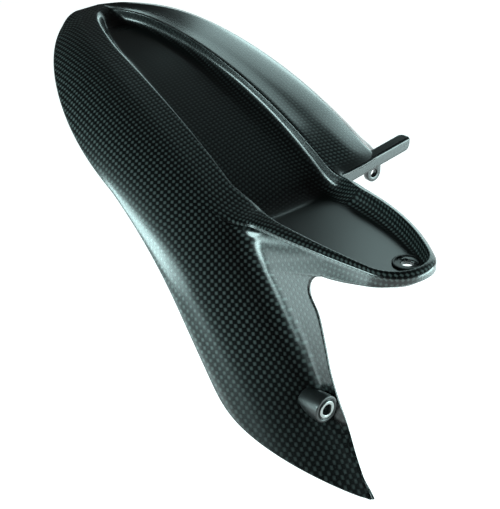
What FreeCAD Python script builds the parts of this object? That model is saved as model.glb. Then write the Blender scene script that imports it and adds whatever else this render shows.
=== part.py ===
"""Rear mudguard of a motorcycle.

One carbon-fibre moulding: a domed arch over the tyre with a long spoon-shaped
recess, a flat tongue tray that carries the front mount, a skirt on the right
hand side with an upstanding web, and a side tab with an ear.  A rubber grommet,
a mount boss and a metal bush are separate pieces.

Frame: the origin is the middle of the front mount hole on the tray floor, +X
points forward along the tongue, +Y to the left of the machine and +Z up.
Angles along the arch are measured at the wheel axle, from straight up towards
the front.  Distances called side are measured from the middle plane of the
wheel, negative to the right.
"""
import FreeCAD
import Part
import math
import os

Vector = FreeCAD.Vector

# Driving dimensions in millimetres and degrees
SIZES = [
    ("arch_radius", 330.0, "outer radius of the arch crest about the axle"),
    ("kink_back", 104.1, "end of the arch crest behind the front mount"),
    ("kink_height", 7.3, "end of the arch crest above the tray floor"),
    ("middle_side", -4.1, "middle plane of the wheel beside the front mount"),
    ("wall", 1.6, "wall of the laminate"),
    ("rear_angle", -2.6, "rear end of the arch"),
    ("kink_angle", 39.5, "angle where the tongue leaves the arch"),
    ("shoulder_radius", 56.0, "radius of the rounded shoulders"),
    ("land_right", 11.5, "land between the recess and the right shoulder"),
    ("land_left", 13.0, "land between the recess and the left shoulder"),
    ("recess_depth", 10.0, "depth of the recess where it meets the tray"),
    ("recess_rear_depth", 4.5, "depth of the recess along its rear part"),
    ("recess_run", 9.0, "run of the recess wall where it meets the tray"),
    ("recess_rear_run", 3.6, "run of the recess wall along its rear part"),
    ("recess_deepening_angle", 26.0, "angle where the recess starts to deepen"),
    ("recess_tip_angle", -0.6, "rear tip of the recess"),
    ("recess_tip_side", 5.0, "side place of the rear tip of the recess"),
    ("recess_tip_reach", 6.0, "least reach of both rims at the tip"),
    ("recess_right_reach", 45.5, "reach of the recess to the right of its tip"),
    ("recess_right_span", 29.6, "angle over which the right rim opens"),
    ("recess_right_close", 0.1, "closing of the right rim before the tongue"),
    ("recess_left_step", 15.0, "quick opening of the left rim"),
    ("recess_left_decay", 2.2, "angle of the quick opening"),
    ("recess_left_slope", 0.77, "slow opening of the left rim per degree"),
    ("edge_start_angle", -2.9, "angle where both lower edges would meet"),
    ("edge_right_reach", 100.0, "reach of the right lower edge"),
    ("edge_right_span", 30.0, "angle over which the right edge opens"),
    ("edge_right_drift", 0.17, "further drift of the right edge per degree"),
    ("edge_left_reach", 102.0, "reach of the left lower edge"),
    ("edge_left_span", 30.0, "angle over which the left edge opens"),
    ("edge_left_drift", 0.5, "further drift of the left edge per degree"),
    ("edge_power", 0.64, "roundness of the rear end"),
    ("skirt_tangent_angle", 45.0, "angle where the skirt runs straight on"),
    ("skirt_inner_start", 51.5, "inner border of the skirt at the tongue"),
    ("skirt_inner_slope", 0.33, "outward drift of that border per degree"),
    ("skirt_round_angle", 54.5, "angle where the skirt starts to close"),
    ("skirt_tip_angle", 72.2, "angle of the pointed lower end"),
    ("skirt_sink", 0.4, "skirt below the arch skin where they overlap"),
    ("web_side", -41.63, "side place of the web at the mount"),
    ("web_yaw", 0.1129, "outward drift of the web per millimetre back"),
    ("web_lean", 0.2017, "outward drift of the web per millimetre down"),
    ("web_low", 6.0, "height of the web at the lower end"),
    ("web_rise", 23.0, "extra height of the web at the notch"),
    ("web_rise_angle", 50.3, "angle of the notch"),
    ("web_rise_width", 9.5, "angle over which that extra height fades"),
    ("notch_front", -30.0, "front end of the notch under the tray wall"),
    ("notch_back", -37.6, "deepest point of the notch"),
    ("notch_drop", 9.0, "that point below the tray wall"),
    ("tray_height", 11.7, "height of the tray land above its floor"),
    ("tray_skirt", 4.0, "outer tray wall below the floor at the notch"),
    ("tray_lift", 6.5, "rise of the lower edge of that wall to the front"),
    ("tray_rear", -111.5, "rear end of the tray"),
    ("tray_right_rear", -52.0, "outer right corner of the tray at the rear"),
    ("tray_left_rear", 54.4, "outer left corner of the tray at the rear"),
    ("tray_right_bulge", 0.8, "bulge of the right side of the tray"),
    ("tray_left_bulge", 7.0, "bulge of the left side of the tray"),
    ("tray_tip_side", -9.0, "side place of the round tip"),
    ("tray_tip_radius", 27.5, "radius of the round tip"),
    ("floor_right_rear", -32.5, "inner right corner of the tray at the rear"),
    ("floor_left_rear", 49.0, "inner left corner of the tray at the rear"),
    ("floor_left_bulge", 6.0, "bulge of the left side of the tray floor"),
    ("floor_tip_radius", 22.0, "inner radius of the round tip"),
    ("tab_front", -106.0, "front face of the tab lip"),
    ("tab_root", 50.0, "inner end of the tab"),
    ("tab_length", 67.0, "length of the tab to the side"),
    ("tab_depth", 8.5, "depth of the tab shelf"),
    ("tab_lip", 9.0, "height of the tab lip"),
    ("tab_top", 10.2, "height of the shelf at its inner end"),
    ("tab_tilt", 7.3, "rise of the tab to the side"),
    ("ear_side", 81.0, "side place of the ear hole"),
    ("ear_height", 1.5, "height of the ear hole"),
    ("ear_radius", 6.5, "radius of the ear"),
    ("ear_depth", 4.0, "thickness of the ear"),
    ("ear_hole", 3.0, "radius of the ear hole"),
    ("grommet_hole", 4.25, "radius of the front mount bore"),
    ("grommet_neck", 7.5, "radius of the grommet neck"),
    ("grommet_flange", 10.2, "radius of the grommet flange"),
    ("grommet_lip", 1.4, "thickness of each grommet flange"),
    ("grommet_dish", 8.4, "radius of the shallow dish in the upper flange"),
    ("grommet_dish_depth", 0.9, "depth of that dish"),
    ("boss_front", 0.5, "front face of the boss"),
    ("boss_length", 20.0, "length of the boss"),
    ("boss_side", -66.0, "side place of the boss"),
    ("boss_height", -82.0, "height of the boss axis"),
    ("boss_radius", 9.5, "radius of the boss"),
    ("bush_radius", 6.3, "outer radius of the metal bush"),
    ("bush_bore", 3.8, "radius of the lower mount bore"),
    ("bush_proud", 0.6, "bush in front of the boss face"),
]

doc = FreeCAD.newDocument("rear_mudguard")
sheet = doc.addObject("Spreadsheet::Sheet", "Sizes")
for row, (alias, value, note) in enumerate(SIZES, start=1):
    sheet.set("A%d" % row, note)
    sheet.set("B%d" % row, "%g" % value)
    sheet.setAlias("B%d" % row, alias)
doc.recompute()


def size(alias):
    """Value of one named cell of the sheet."""
    return float(sheet.get(alias))


def smooth(x):
    """Smooth step from nought to one."""
    x = max(0.0, min(1.0, x))
    return x * x * (3.0 - 2.0 * x)


def at(angle, side, radius):
    """Point at an angle about the axle, a side place and a radius."""
    turn = math.radians(angle)
    kink = math.radians(size("kink_angle"))
    back = size("kink_back") + size("arch_radius") * math.sin(kink)
    drop = size("arch_radius") * math.cos(kink) - size("kink_height")
    return Vector(radius * math.sin(turn) - back,
                  size("middle_side") + side,
                  radius * math.cos(turn) - drop)


def rim_right(angle):
    """Side place of the right rim of the recess."""
    share = max(0.0, (angle - size("recess_tip_angle")) / size("recess_right_span"))
    reach = size("recess_right_reach") * math.sin(math.pi / 2 * min(share, 1.4) ** 0.65)
    past = max(0.0, angle - size("recess_tip_angle") - size("recess_right_span"))
    reach = max(size("recess_tip_reach"), reach - size("recess_right_close") * past * past)
    return size("recess_tip_side") - reach


def rim_left(angle):
    """Side place of the left rim of the recess."""
    past = max(0.0, angle - size("recess_tip_angle"))
    reach = size("recess_left_step") * (1 - math.exp(-past / size("recess_left_decay")))
    return size("recess_tip_side") + max(size("recess_tip_reach"), reach + size("recess_left_slope") * past)


def opening(angle, hand):
    """Reach of a lower edge that opens from the rear end."""
    past = angle - size("edge_start_angle")
    span = size("edge_%s_span" % hand)
    share = max(0.004, min(1.0, past / span))
    reach = size("edge_%s_reach" % hand) * math.sin(math.pi / 2 * share ** size("edge_power"))
    return reach + size("edge_%s_drift" % hand) * max(0.0, past - span)


def shoulder_right(angle, edge):
    """Half width of the flat crest on the right."""
    share = max(0.0, (angle - size("recess_tip_angle")) / size("recess_right_span"))
    reach = size("recess_right_reach") * math.sin(math.pi / 2 * min(share, 1.0) ** 0.65)
    flat = max(size("recess_tip_reach"), reach) - size("recess_tip_side") + size("land_right")
    return min(flat, edge - 2.0)


def shoulder_left(angle, edge):
    """Half width of the flat crest on the left."""
    return min(rim_left(angle) + size("land_left"), edge - 2.0)


def arch_section(angle, inset):
    """Points across the arch at an angle, on the outer skin or inset from it."""
    radius = size("shoulder_radius") - inset
    base = size("arch_radius") - size("shoulder_radius")
    edge_r = opening(angle, "right")
    edge_l = opening(angle, "left")
    flat_r = shoulder_right(angle, edge_r)
    flat_l = shoulder_left(angle, edge_l)
    rims = (max(rim_right(angle), -0.7 * flat_r), min(rim_left(angle), 0.7 * flat_l))
    grow = 0.9 * inset
    gain = smooth((angle - size("recess_deepening_angle"))
                  / (size("kink_angle") - size("recess_deepening_angle")))
    run = size("recess_rear_run") + gain * (size("recess_run") - size("recess_rear_run"))
    run = min(run, 0.42 * (rims[1] - rims[0]))
    deep = size("recess_rear_depth") + gain * (size("recess_depth") - size("recess_rear_depth"))
    deep *= smooth((angle - size("recess_tip_angle")) / 2.6)
    points = []
    lean_r = math.asin(min(1.0, (edge_r - flat_r) / size("shoulder_radius")))
    for k in range(7):
        lean = lean_r * (1 - k / 6.0)
        points.append((-(flat_r + radius * math.sin(lean)), base + radius * math.cos(lean)))
    top = base + radius
    first = rims[0] - grow
    for share in (0.35, 0.7):
        points.append((-flat_r + share * (first + flat_r), top))
    for k in range(7):
        points.append((first + run * k / 6.0, top - deep * smooth(k / 6.0)))
    last = rims[1] + grow
    for share in (0.2, 0.4, 0.6, 0.8):
        points.append((first + run + share * (last - first - 2 * run), top - deep))
    for k in range(6, -1, -1):
        points.append((last - run * k / 6.0, top - deep * smooth(k / 6.0)))
    for share in (0.3, 0.65):
        points.append((last + share * (flat_l - last), top))
    lean_l = math.asin(min(1.0, (edge_l - flat_l) / size("shoulder_radius")))
    for k in range(7):
        lean = lean_l * k / 6.0
        points.append((flat_l + radius * math.sin(lean), base + radius * math.cos(lean)))
    return [at(angle, side, r) for side, r in points]


def crest(angle):
    """Crest radius of the skirt, which runs straight on past its tangent angle."""
    past = math.radians(max(0.0, angle - size("skirt_tangent_angle")))
    return size("arch_radius") / math.cos(past)


def skirt_edges(angle):
    """Inner border and outer edge of the skirt, as distances to the right."""
    inner = size("skirt_inner_start") + size("skirt_inner_slope") * (angle - size("kink_angle"))
    outer = opening(angle, "right")
    span = size("skirt_tip_angle") + 0.3 - size("skirt_round_angle")
    past = max(0.0, (angle - size("skirt_round_angle")) / span)
    outer = inner + (outer - inner) * max(0.0, 1 - past ** 3.2) ** 0.95
    return inner, outer


def skirt_section(angle, inset):
    """Points across the skirt at an angle, on the outer skin or inset from it."""
    radius = size("shoulder_radius") - inset
    base = crest(angle) - size("shoulder_radius") - size("skirt_sink")
    inner, outer = skirt_edges(angle)
    flat = shoulder_right(size("kink_angle"), opening(size("kink_angle"), "right"))
    lean_in = math.asin((inner - flat) / size("shoulder_radius"))
    lean_out = math.asin(min(1.0, (outer - flat) / size("shoulder_radius")))
    points = []
    for k in range(9):
        lean = lean_out + (lean_in - lean_out) * k / 8.0
        points.append(at(angle, -(flat + radius * math.sin(lean)), base + radius * math.cos(lean)))
    return points


def patches(surface, rows, columns):
    """Faces of a surface that is split at some of its knots."""
    u_knots = surface.getUKnots()
    v_knots = surface.getVKnots()
    faces = []
    for u0, u1 in zip(rows[:-1], rows[1:]):
        for v0, v1 in zip(columns[:-1], columns[1:]):
            patch = surface.copy()
            patch.segment(u_knots[u0], u_knots[u1], v_knots[v0], v_knots[v1])
            faces.append(patch.toShape())
    return faces


def skin(outer, inner, rows, columns):
    """Closed solid between two grids of points with the same layout."""
    top = Part.BSplineSurface()
    top.interpolate(outer)
    low = Part.BSplineSurface()
    low.interpolate(inner)
    faces = patches(top, rows, columns) + patches(low, rows, columns)
    borders = []
    for u0, u1 in zip(rows[:-1], rows[1:]):
        for v in (columns[0], columns[-1]):
            for surface in (top, low):
                edge = surface.vIso(surface.getVKnots()[v])
                borders.append(edge.toShape(surface.getUKnots()[u0], surface.getUKnots()[u1]))
    for v0, v1 in zip(columns[:-1], columns[1:]):
        for u in (rows[0], rows[-1]):
            for surface in (top, low):
                edge = surface.uIso(surface.getUKnots()[u])
                borders.append(edge.toShape(surface.getVKnots()[v0], surface.getVKnots()[v1]))
    for upper, lower in zip(borders[0::2], borders[1::2]):
        faces.append(Part.makeRuledSurface(upper, lower, 1))
    shell = Part.makeShell(faces)
    shell.sewShape()
    solid = Part.Solid(Part.Shell(shell.Faces))
    if solid.Volume < 0:
        solid.reverse()
    return solid


def tangent_outline(right, left, bulges, tip_x, radius, z):
    """Face with two gently bulged sides that touch a round tip."""
    rear = size("tray_rear")
    middle = Vector(tip_x, size("middle_side") + size("tray_tip_side"), z)
    corners = []
    touches = []
    sides = []
    for side, bulge, sign in ((right, bulges[0], -1.0), (left, bulges[1], 1.0)):
        corner = Vector(rear, size("middle_side") + side, z)
        reach = corner.sub(middle)
        turn = math.acos(radius / reach.Length) + 4 * bulge / reach.Length
        heading = math.atan2(reach.y, reach.x) - sign * turn
        touch = Vector(middle.x + radius * math.cos(heading),
                       middle.y + radius * math.sin(heading), z)
        way = touch.sub(corner)
        out = Vector(-way.y, way.x, 0).multiply(sign * bulge / way.Length)
        sides.append(Part.Arc(corner, corner.add(touch).multiply(0.5).add(out), touch).toShape())
        touches.append(touch)
        corners.append(corner)
    front = Vector(middle.x + radius, middle.y, z)
    tip = Part.Arc(touches[0], front, touches[1]).toShape()
    back = Part.LineSegment(corners[1], corners[0]).toShape()
    return Part.Face(Part.Wire([sides[0], tip, sides[1], back]))


def feature(name, shape):
    """Document object that holds one computed shape."""
    thing = doc.addObject("Part::Feature", name)
    thing.Shape = shape
    return thing


def prism(name, face, low, high):
    """Extrusion of a flat face between two heights given as expressions."""
    base = feature(name + "Outline", face)
    body = doc.addObject("Part::Extrusion", name)
    body.Base = base
    body.DirMode = "Custom"
    body.Dir = Vector(0, 0, 1)
    body.Solid = True
    body.setExpression("LengthFwd", "(%s) - (%s)" % (high, low))
    body.setExpression("Placement.Base.z", low)
    return body


def box(name, lengths, corner):
    """Box with sizes and corner bound to the sheet."""
    thing = doc.addObject("Part::Box", name)
    for prop, text in zip(("Length", "Width", "Height"), lengths):
        thing.setExpression(prop, text)
    for axis, text in zip("xyz", corner):
        thing.setExpression("Placement.Base." + axis, text)
    return thing


def rod(name, radius, length, corner, forward=False):
    """Cylinder bound to the sheet, standing up or pointing forward."""
    thing = doc.addObject("Part::Cylinder", name)
    thing.setExpression("Radius", radius)
    thing.setExpression("Height", length)
    if forward:
        thing.Placement = FreeCAD.Placement(Vector(0, 0, 0), FreeCAD.Rotation(Vector(0, 1, 0), 90))
    for axis, text in zip("xyz", corner):
        thing.setExpression("Placement.Base." + axis, text)
    return thing


def cut(name, base, tool):
    """One object less another."""
    thing = doc.addObject("Part::Cut", name)
    thing.Base = base
    thing.Tool = tool
    return thing


def fuse(name, things):
    """Several objects made one."""
    thing = doc.addObject("Part::MultiFuse", name)
    thing.Shapes = things
    thing.Refine = False
    return thing


# Arch skin with its recess
end = size("kink_angle")
start = size("rear_angle")
shares = (0.0, 0.0166, 0.038, 0.0665, 0.1045, 0.1568, 0.228, 0.32, 0.44, 0.58, 0.72, 0.86, 1.0)
stops = [start + (end - start) * share for share in shares]
arch = feature("ArchSkin", skin([arch_section(a, 0.0) for a in stops],
                                [arch_section(a, size("wall")) for a in stops],
                                (0, 2, 4, 6, 9, 12), (0, 6, 9, 15, 20, 26, 29, 35)))

# Skirt on the right hand side, down to its pointed end
last = size("skirt_tip_angle")
stops = [end - 3.5 + (last - end + 3.5) * s
         for s in (0.0, 0.12, 0.26, 0.4, 0.53, 0.65, 0.75, 0.84, 0.91, 0.96, 1.0)]
skirt = feature("SkirtSkin", skin([skirt_section(a, 0.0) for a in stops],
                                  [skirt_section(a, size("wall")) for a in stops],
                                  (0, 4, 7, 10), (0, 8)))


# Leaning web between the tray land and the skirt
def web_point(x, z):
    """Point of the leaning web plane."""
    side = size("web_side") + size("web_yaw") * x + size("web_lean") * z
    return Vector(x, size("middle_side") + side, z)


def web_polar(angle, above):
    """Point of the web at an angle, a height above the skirt crest."""
    place = at(angle, 0.0, crest(angle) + above)
    return web_point(place.x, place.z)


def web_height(angle):
    """Height of the web above the skirt crest."""
    past = (angle - size("web_rise_angle")) / size("web_rise_width")
    return size("web_low") + size("web_rise") * math.exp(-past * past)


inside = -0.5 * size("wall") - size("skirt_sink")
land = size("tray_height") - 0.5 * size("wall")
low = -size("tray_skirt")
notch_deep = size("notch_back")
notch_drop = size("notch_drop")
first_angle = size("web_rise_angle") + 1.5
spread = [first_angle + (last - 0.5 - first_angle) * k / 7.0 for k in range(8)]
throat = web_polar(first_angle, web_height(first_angle))
front_curve = Part.BSplineCurve()
front_curve.interpolate([web_point(size("notch_front"), low),
                         web_point(notch_deep + 0.1 * notch_drop, low - 0.58 * notch_drop),
                         web_point(notch_deep, low - notch_drop),
                         web_point(0.5 * (notch_deep + throat.x) - 0.11 * notch_drop,
                                   0.5 * (low - notch_drop + throat.z))]
                        + [web_polar(a, web_height(a)) for a in spread])
back_curve = Part.BSplineCurve()
back_curve.interpolate([web_polar(last - 0.9 + (end + 0.9 - last) * k / 8.0, inside - 0.2)
                        for k in range(9)])
corner_rear = web_point(size("tray_rear") + 4.0, land)
corner_front = web_point(size("notch_front"), land)
tip_front = web_polar(spread[-1], web_height(spread[-1]))
tip_back = web_polar(last - 0.9, inside - 0.2)
root = web_polar(end, inside - 0.2)
outline = [Part.LineSegment(corner_rear, corner_front).toShape(),
           Part.LineSegment(corner_front, web_point(size("notch_front"), low)).toShape(),
           front_curve.toShape(),
           Part.LineSegment(tip_front, tip_back).toShape(),
           back_curve.toShape(),
           Part.LineSegment(root, corner_rear).toShape()]
web_face = Part.Face(Part.Wire(outline))
web_way = web_face.normalAt(0, 0)
if web_way.y < 0:
    web_way = web_way.negative()
web = feature("Web", web_face.extrude(web_way.multiply(size("wall"))))

# Tongue tray: floor, inner wall, land and outer wall
thick = size("wall")
tray_bulges = (size("tray_right_bulge"), size("tray_left_bulge"))
floor_bulges = (size("tray_right_bulge"), size("floor_left_bulge"))
outer_face = tangent_outline(size("tray_right_rear"), size("tray_left_rear"), tray_bulges,
                             0.0, size("tray_tip_radius"), 0.0)
hollow_face = tangent_outline(size("tray_right_rear") + thick, size("tray_left_rear") - thick, tray_bulges,
                              0.0, size("tray_tip_radius") - thick, 0.0)
floor_face = tangent_outline(size("floor_right_rear"), size("floor_left_rear"), floor_bulges,
                             -1.0, size("floor_tip_radius"), 0.0)
under_face = tangent_outline(size("floor_right_rear") - thick, size("floor_left_rear") + thick, floor_bulges,
                             -1.0, size("floor_tip_radius") + thick, 0.0)
tray_block = prism("TrayBlock", outer_face, "-Sizes.tray_skirt", "Sizes.tray_height")
tray_floor = prism("TrayFloor", floor_face, "0", "Sizes.tray_height + 5")
tray_hollow = prism("TrayHollow", hollow_face, "-Sizes.tray_skirt - 5", "Sizes.tray_height - Sizes.wall")
tray_under = prism("TrayUnder", under_face, "-Sizes.wall", "Sizes.tray_height")
hollow = cut("TrayHollowRing", tray_hollow, tray_under)
side_gap = box("TraySideGap",
               ("Sizes.notch_front - Sizes.tray_rear", "22", "Sizes.tray_height + Sizes.tray_skirt"),
               ("Sizes.tray_rear - 1", "Sizes.middle_side + Sizes.floor_right_rear - 27",
                "-Sizes.tray_skirt - Sizes.wall"))
under_lift = box("TrayUnderLift", ("90", "140", "30"),
                 ("Sizes.notch_front - 5", "Sizes.middle_side - 80", "-Sizes.tray_skirt - 30"))
under_lift.setExpression("Placement.Rotation.Angle", "Sizes.tray_lift")
under_lift.setExpression("Placement.Rotation.Axis.y", "-1")
under_lift.setExpression("Placement.Rotation.Axis.z", "0")
tray_ring = cut("TrayRing", cut("TrayLess", tray_block, hollow), under_lift)
floor_plate = prism("FloorPlate", under_face, "-Sizes.wall", "Sizes.tray_height")
tray_solid = fuse("TraySolid", [tray_ring, floor_plate])
tray = cut("Tray", cut("TrayOpen", tray_solid, tray_floor), side_gap)

# Side tab: shelf, lip and ear
shelf = box("TabShelf", ("Sizes.tab_depth", "Sizes.tab_length", "Sizes.wall"),
            ("Sizes.tab_front - Sizes.tab_depth", "Sizes.middle_side + Sizes.tab_root",
             "Sizes.tab_top - Sizes.wall"))
lip = box("TabLip", ("Sizes.wall", "Sizes.tab_length", "Sizes.tab_lip"),
          ("Sizes.tab_front - Sizes.wall", "Sizes.middle_side + Sizes.tab_root",
           "Sizes.tab_top - Sizes.tab_lip"))
for thing in (shelf, lip):
    thing.setExpression("Placement.Rotation.Angle", "Sizes.tab_tilt")
    thing.setExpression("Placement.Rotation.Axis.x", "1")
    thing.setExpression("Placement.Rotation.Axis.z", "0")
ear_plate = box("EarPlate", ("Sizes.ear_depth", "2 * Sizes.ear_radius", "Sizes.ear_radius + 2"),
                ("Sizes.tab_front - Sizes.ear_depth", "Sizes.middle_side + Sizes.ear_side - Sizes.ear_radius",
                 "Sizes.ear_height"))
ear_round = rod("EarRound", "Sizes.ear_radius", "Sizes.ear_depth",
                ("Sizes.tab_front - Sizes.ear_depth", "Sizes.middle_side + Sizes.ear_side",
                 "Sizes.ear_height"), True)
ear_hole = rod("EarHole", "Sizes.ear_hole", "Sizes.ear_depth + 20",
               ("Sizes.tab_front - Sizes.ear_depth - 10", "Sizes.middle_side + Sizes.ear_side",
                "Sizes.ear_height"), True)
ear = cut("Ear", fuse("EarBlock", [ear_plate, ear_round]), ear_hole)

# The flank ends at the shelf, so what would pass below it is trimmed
under_tab = box("UnderTab", ("Sizes.tab_depth + 20", "Sizes.tab_length + 20", "Sizes.arch_radius / 8"),
                ("Sizes.tab_front - Sizes.tab_depth - Sizes.wall",
                 "Sizes.middle_side + Sizes.tab_root + 8 + Sizes.arch_radius / 8 * sin(Sizes.tab_tilt)",
                 "Sizes.tab_top + 8 * tan(Sizes.tab_tilt) - Sizes.wall / 2"
                 " - Sizes.arch_radius / 8 * cos(Sizes.tab_tilt)"))
under_tab.setExpression("Placement.Rotation.Angle", "Sizes.tab_tilt")
under_tab.setExpression("Placement.Rotation.Axis.x", "1")
under_tab.setExpression("Placement.Rotation.Axis.z", "0")
arch_trimmed = cut("ArchTrimmed", arch, under_tab)

# Lower boss with its metal bush
boss_place = ("Sizes.boss_front - Sizes.boss_length", "Sizes.middle_side + Sizes.boss_side",
              "Sizes.boss_height")
boss_rod = rod("BossRod", "Sizes.boss_radius", "Sizes.boss_length", boss_place, True)
boss_room = rod("BossRoom", "Sizes.boss_radius", "Sizes.boss_length", boss_place, True)
bush_room = rod("BushRoom", "Sizes.bush_radius", "Sizes.boss_length + 4",
                ("Sizes.boss_front - Sizes.boss_length - 2",) + boss_place[1:], True)
boss = cut("LowerMountBoss", boss_rod, bush_room)
bush_rod = rod("BushRod", "Sizes.bush_radius", "Sizes.boss_length + Sizes.bush_proud", boss_place, True)
bush_bore = rod("BushBore", "Sizes.bush_bore", "Sizes.boss_length + 10",
                ("Sizes.boss_front - Sizes.boss_length - 4",) + boss_place[1:], True)
bush = cut("LowerMountBush", bush_rod, bush_bore)

# Front mount grommet, clamped over the rim of its hole
neck = rod("GrommetNeck", "Sizes.grommet_neck", "Sizes.wall + 2 * Sizes.grommet_lip",
           ("0", "0", "-Sizes.wall - Sizes.grommet_lip"))
upper = rod("GrommetUpper", "Sizes.grommet_flange", "Sizes.grommet_lip", ("0", "0", "0"))
lower = rod("GrommetLower", "Sizes.grommet_flange", "Sizes.grommet_lip",
            ("0", "0", "-Sizes.wall - Sizes.grommet_lip"))
bore = rod("GrommetBore", "Sizes.grommet_hole", "Sizes.wall + 2 * Sizes.grommet_lip + 10",
           ("0", "0", "-Sizes.wall - Sizes.grommet_lip - 5"))
dish = rod("GrommetDish", "Sizes.grommet_dish", "Sizes.grommet_dish_depth + 5",
           ("0", "0", "Sizes.grommet_lip - Sizes.grommet_dish_depth"))
grommet_ring = cut("GrommetRing", fuse("GrommetBlock", [neck, upper, lower]), bore)
grommet = cut("FrontMountGrommet", grommet_ring, dish)
neck_room = rod("NeckRoom", "Sizes.grommet_neck", "Sizes.wall + 10", ("0", "0", "-Sizes.wall - 5"))

# The whole moulding
tray_holed = cut("TrayHoled", tray, neck_room)
skirt_holed = cut("SkirtHoled", skirt, boss_room)
web_holed = cut("WebHoled", web, boss_room)
shell = fuse("MudguardShell", [arch_trimmed, skirt_holed, web_holed, tray_holed, shelf, lip, ear])

doc.recompute()

pieces = [(shell, "mudguard_shell"), (grommet, "front_mount_grommet"),
          (boss, "lower_mount_boss"), (bush, "lower_mount_bush")]
for thing, label in pieces:
    thing.Label = label
doc.recompute()

for thing in doc.Objects:
    if "Invalid" in thing.State or "Error" in thing.State:
        raise RuntimeError("%s did not compute" % thing.Name)
for thing, label in pieces:
    if thing.Shape.isNull() or not thing.Shape.isValid():
        raise RuntimeError("%s has no valid shape" % label)
    if len(thing.Shape.Solids) != 1:
        raise RuntimeError("%s is %d solids" % (label, len(thing.Shape.Solids)))

os.makedirs("parts", exist_ok=True)
for thing, label in pieces:
    thing.Shape.exportStep("parts/%s.step" % label)
    print(label, round(thing.Shape.Volume, 1), thing.Shape.BoundBox)
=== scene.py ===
"""Looks of a carbon-fibre motorcycle rear mudguard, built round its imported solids.

The moulding is one sheet made of surfaces that share their borders: the arch with
its spoon recess, the tongue tray, the skirt with its web, the outer wall of the
tongue and the side tab.  The sheet gets its laminate wall afterwards.  Grommet,
boss and bush are turned profiles.  All lengths in the formulas are millimetres in
the frame of the solids, and meshes are written in metres.
"""
import math
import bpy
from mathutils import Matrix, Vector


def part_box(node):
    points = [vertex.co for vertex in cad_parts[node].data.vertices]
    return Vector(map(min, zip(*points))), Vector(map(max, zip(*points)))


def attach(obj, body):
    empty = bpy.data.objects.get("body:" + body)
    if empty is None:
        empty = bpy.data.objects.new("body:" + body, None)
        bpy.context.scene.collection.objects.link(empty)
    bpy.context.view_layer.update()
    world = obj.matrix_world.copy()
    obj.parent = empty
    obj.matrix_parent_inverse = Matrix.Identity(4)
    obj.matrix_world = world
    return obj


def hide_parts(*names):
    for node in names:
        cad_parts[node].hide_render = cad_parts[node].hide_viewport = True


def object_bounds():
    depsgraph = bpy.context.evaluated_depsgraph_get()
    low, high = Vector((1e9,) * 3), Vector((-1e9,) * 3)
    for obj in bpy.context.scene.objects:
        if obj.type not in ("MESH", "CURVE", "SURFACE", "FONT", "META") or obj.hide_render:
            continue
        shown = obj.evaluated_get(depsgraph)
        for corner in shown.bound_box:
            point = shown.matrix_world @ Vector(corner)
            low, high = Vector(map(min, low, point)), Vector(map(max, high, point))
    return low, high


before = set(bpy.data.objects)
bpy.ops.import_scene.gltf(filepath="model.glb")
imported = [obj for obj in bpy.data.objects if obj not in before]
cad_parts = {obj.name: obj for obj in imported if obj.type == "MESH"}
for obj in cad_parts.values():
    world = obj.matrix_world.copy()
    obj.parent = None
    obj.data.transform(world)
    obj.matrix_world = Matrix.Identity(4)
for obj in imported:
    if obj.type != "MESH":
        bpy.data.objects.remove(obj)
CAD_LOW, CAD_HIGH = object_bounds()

from types import SimpleNamespace

import bmesh
import bpy
import numpy as np
from mathutils import Matrix, Vector

bl_info = {
    "name": "Carbon rear mudguard",
    "version": (1, 0, 0),
    "blender": (4, 5, 0),
    "location": "View3D > Sidebar > Mudguard",
    "description": "Builds a carbon rear mudguard, its mounts and its stage",
    "category": "Object",
}

MM = 0.001
QUARTER = math.pi / 2


class MudguardSizes(bpy.types.PropertyGroup):
    """Sizes of the moulding and its mounts."""

    arch_radius: bpy.props.FloatProperty(
        name="Arch radius", description="Crest of the arch about the axle", default=0.330, unit="LENGTH")
    shoulder_radius: bpy.props.FloatProperty(
        name="Shoulder radius", description="Rounding of both shoulders", default=0.056, unit="LENGTH")
    wall: bpy.props.FloatProperty(
        name="Wall", description="Thickness of the laminate", default=0.0016, unit="LENGTH")
    recess_depth: bpy.props.FloatProperty(
        name="Recess depth", description="Depth of the spoon recess at the tongue",
        default=0.010, unit="LENGTH")
    recess_rear_depth: bpy.props.FloatProperty(
        name="Rear recess depth", description="Depth of the spoon recess on the arch",
        default=0.0085, unit="LENGTH")
    recess_run: bpy.props.FloatProperty(
        name="Recess wall run", description="Width of the recess wall at the tongue",
        default=0.0100, unit="LENGTH")
    recess_rear_run: bpy.props.FloatProperty(
        name="Rear wall run", description="Width of the recess wall on the arch",
        default=0.0042, unit="LENGTH")
    tray_height: bpy.props.FloatProperty(
        name="Tray height", description="Land of the tongue above its floor", default=0.0117, unit="LENGTH")
    crease_fillet: bpy.props.FloatProperty(
        name="Crease fillet", description="Tangent length of the hollow between skirt and web",
        default=0.011, unit="LENGTH")
    land_round: bpy.props.FloatProperty(
        name="Land rounding", description="Rounding of the outer edge of the tongue",
        default=0.003, unit="LENGTH")
    edge_roll: bpy.props.FloatProperty(
        name="Edge roll", description="Rounding of the trimmed lower edges", default=0.0013, unit="LENGTH")
    grommet_radius: bpy.props.FloatProperty(
        name="Grommet radius", description="Outer radius of the front mount ring",
        default=0.0102, unit="LENGTH")
    boss_radius: bpy.props.FloatProperty(
        name="Boss radius", description="Outer radius of the lower boss", default=0.0095, unit="LENGTH")
    bush_radius: bpy.props.FloatProperty(
        name="Bush radius", description="Outer radius of the metal bush", default=0.0063, unit="LENGTH")


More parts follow.
